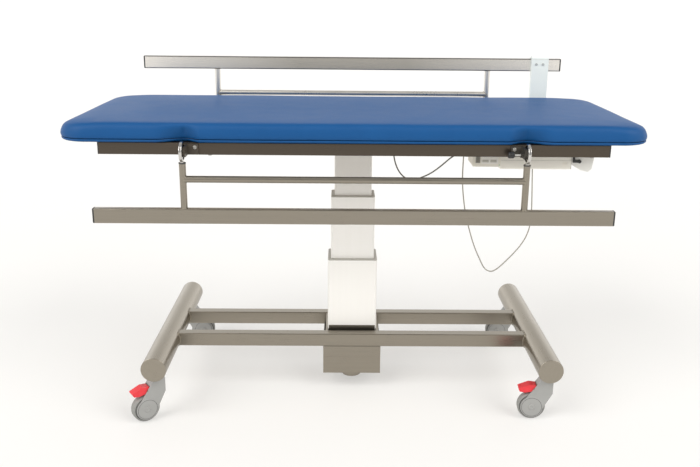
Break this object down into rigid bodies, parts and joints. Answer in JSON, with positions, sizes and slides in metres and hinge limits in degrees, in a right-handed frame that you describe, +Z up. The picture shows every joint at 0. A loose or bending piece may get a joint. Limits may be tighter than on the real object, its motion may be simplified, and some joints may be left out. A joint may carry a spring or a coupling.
{
  "type": "mobile height-adjustable examination table",
  "caption": "Wheeled examination and changing table: padded top with fold-down side rails on an electric three-stage lifting column and castor base.",
  "frame": {"origin": "on the floor, midway between the castors and under the bed's centre", "axes": "+X along the bed towards the control unit, +Y across it towards the raised rail, +Z up"},
  "size_m": [1.956, 0.906, 1.236],
  "materials": {
    "satin_stainless": "satin ground stainless tube",
    "polished_steel": "polished",
    "column_paint": "fine-texture powder coat",
    "collar_grey": "moulded",
    "castor_grey": "moulded, fine texture",
    "castor_wheel": "grey non-marking tread on a moulded centre",
    "pedal_red": "moulded",
    "black_plastic": "moulded",
    "zinc_steel": "zinc plated",
    "mattress_vinyl": "coated fabric with a fine grain",
    "board_wood": "birch ply",
    "control_cream": "moulded",
    "handset_light": "moulded",
    "button_dark": "moulded",
    "cable_grey": "extruded sheath"
  },
  "bodies": {
    "root": {"base_side_tubes": "satin_stainless", "castor_sockets": "satin_stainless", "castor_stems": "zinc_steel", "base_beams": "satin_stainless", "column_box": "satin_stainless", "motor_boss": "column_paint", "column_outer": "column_paint", "column_outer_collar": "collar_grey", "lift_motor": "black_plastic", "lower_spindle": "zinc_steel"},
    "column_middle": {"column_middle": "column_paint", "column_middle_collar": "collar_grey", "hollow_screw": "zinc_steel"},
    "bed": {"column_inner": "column_paint", "upper_nut": "zinc_steel", "head_plate": "satin_stainless", "bed_long_tubes": "satin_stainless", "bed_tube_plugs": "black_plastic", "bed_cross_tubes": "satin_stainless", "mattress_board": "board_wood", "mattress": "mattress_vinyl", "hinge_brackets": "satin_stainless", "hinge_pins": "polished_steel", "frame_screws": "zinc_steel", "control_unit": "control_cream", "battery": "control_cream", "battery_cradle": "control_cream", "column_cable": "cable_grey", "loop_cable": "cable_grey", "handset_cable": "cable_grey", "cable_fittings": "black_plastic", "cable_clips": "black_plastic"},
    "front_rail": {"front_rail_hinge_discs": "polished_steel", "front_rail_bars": "satin_stainless", "front_rail_top_tube": "satin_stainless", "front_rail_end_plugs": "black_plastic"},
    "rear_rail": {"rear_rail_hinge_discs": "polished_steel", "rear_rail_bars": "satin_stainless", "rear_rail_top_tube": "satin_stainless", "rear_rail_end_plugs": "black_plastic", "handset": "handset_light"},
    "front_lock": {"front_lock": "black_plastic"},
    "rear_lock": {"rear_lock": "black_plastic"},
    "battery_latch": {"battery_latch": "black_plastic"},
    "button_down": {"handset_button_down": "button_dark"},
    "button_up": {"handset_button_up": "button_dark"},
    "castor_front_left_swivel": {"castor_front_left_housing": "castor_grey", "castor_front_left_axle": "zinc_steel"},
    "castor_front_left_wheel": {"castor_front_left_wheel": "castor_wheel"},
    "castor_front_left_pedal": {"castor_front_left_pedal": "pedal_red"},
    "castor_front_right_swivel": {"castor_front_right_housing": "castor_grey", "castor_front_right_axle": "zinc_steel"},
    "castor_front_right_wheel": {"castor_front_right_wheel": "castor_wheel"},
    "castor_front_right_pedal": {"castor_front_right_pedal": "pedal_red"},
    "castor_rear_left_swivel": {"castor_rear_left_housing": "castor_grey", "castor_rear_left_axle": "zinc_steel"},
    "castor_rear_left_wheel": {"castor_rear_left_wheel": "castor_wheel"},
    "castor_rear_right_swivel": {"castor_rear_right_housing": "castor_grey", "castor_rear_right_axle": "zinc_steel"},
    "castor_rear_right_wheel": {"castor_rear_right_wheel": "castor_wheel"}
  },
  "joints": [
    {"name": "column_middle_slide", "type": "slide", "parent": "root", "child": "column_middle", "axis": [0, 0, 1], "range_m": [-0.2, 0.03], "deforming": ["loop_cable"]},
    {"name": "column_inner_slide", "type": "slide", "parent": "column_middle", "child": "bed", "axis": [0, 0, 1], "range_m": [-0.2, 0.03]},
    {"name": "front_rail_fold", "type": "hinge", "parent": "bed", "child": "front_rail", "pos_m": [0, -0.42, 0.985], "axis": [-1, 0, 0], "range_deg": [0, 180]},
    {"name": "rear_rail_fold", "type": "hinge", "parent": "bed", "child": "rear_rail", "pos_m": [0, 0.42, 0.985], "axis": [-1, 0, 0], "range_deg": [0, 180]},
    {"name": "front_lock_pull", "type": "slide", "parent": "bed", "child": "front_lock", "axis": [-1, 0, 0], "range_m": [0, 0.006], "stiffness_N_per_m": 800},
    {"name": "rear_lock_pull", "type": "slide", "parent": "bed", "child": "rear_lock", "axis": [-1, 0, 0], "range_m": [0, 0.006], "stiffness_N_per_m": 800},
    {"name": "battery_latch_turn", "type": "hinge", "parent": "bed", "child": "battery_latch", "pos_m": [0.758, -0.303, 0.939], "axis": [0, 1, 0], "range_deg": [-70, 0]},
    {"name": "button_down_press", "type": "slide", "parent": "rear_rail", "child": "button_down", "axis": [0, 1, 0], "range_m": [0, 0.0015], "stiffness_N_per_m": 300},
    {"name": "button_up_press", "type": "slide", "parent": "rear_rail", "child": "button_up", "axis": [0, 1, 0], "range_m": [0, 0.0015], "stiffness_N_per_m": 300},
    {"name": "castor_front_left_swivel_turn", "type": "hinge", "parent": "root", "child": "castor_front_left_swivel", "pos_m": [-0.698, -0.345, 0.1], "axis": [0, 0, 1], "continuous": true},
    {"name": "castor_front_left_wheel_spin", "type": "hinge", "parent": "castor_front_left_swivel", "child": "castor_front_left_wheel", "pos_m": [-0.73896, -0.37368, 0.05], "axis": [0.5736, -0.8192, 0], "continuous": true},
    {"name": "castor_front_left_pedal_press", "type": "hinge", "parent": "castor_front_left_swivel", "child": "castor_front_left_pedal", "pos_m": [-0.73486, -0.37081, 0.12], "axis": [0.5736, -0.8192, 0], "range_deg": [0, 8]},
    {"name": "castor_front_right_swivel_turn", "type": "hinge", "parent": "root", "child": "castor_front_right_swivel", "pos_m": [0.698, -0.345, 0.1], "axis": [0, 0, 1], "continuous": true},
    {"name": "castor_front_right_wheel_spin", "type": "hinge", "parent": "castor_front_right_swivel", "child": "castor_front_right_wheel", "pos_m": [0.64812, -0.34151, 0.05], "axis": [-0.0698, -0.9976, 0], "continuous": true},
    {"name": "castor_front_right_pedal_press", "type": "hinge", "parent": "castor_front_right_swivel", "child": "castor_front_right_pedal", "pos_m": [0.65311, -0.34186, 0.12], "axis": [-0.0698, -0.9976, 0], "range_deg": [0, 8]},
    {"name": "castor_rear_left_swivel_turn", "type": "hinge", "parent": "root", "child": "castor_rear_left_swivel", "pos_m": [-0.698, 0.345, 0.1], "axis": [0, 0, 1], "continuous": true},
    {"name": "castor_rear_left_wheel_spin", "type": "hinge", "parent": "castor_rear_left_swivel", "child": "castor_rear_left_wheel", "pos_m": [-0.64849, 0.35196, 0.05], "axis": [-0.1392, 0.9903, 0], "continuous": true},
    {"name": "castor_rear_right_swivel_turn", "type": "hinge", "parent": "root", "child": "castor_rear_right_swivel", "pos_m": [0.698, 0.345, 0.1], "axis": [0, 0, 1], "continuous": true},
    {"name": "castor_rear_right_wheel_spin", "type": "hinge", "parent": "castor_rear_right_swivel", "child": "castor_rear_right_wheel", "pos_m": [0.64849, 0.35196, 0.05], "axis": [-0.1392, -0.9903, 0], "continuous": true}
  ],
  "couplings": [
    {"joint": "column_inner_slide", "follows": "column_middle_slide", "ratio": 1}
  ]
}
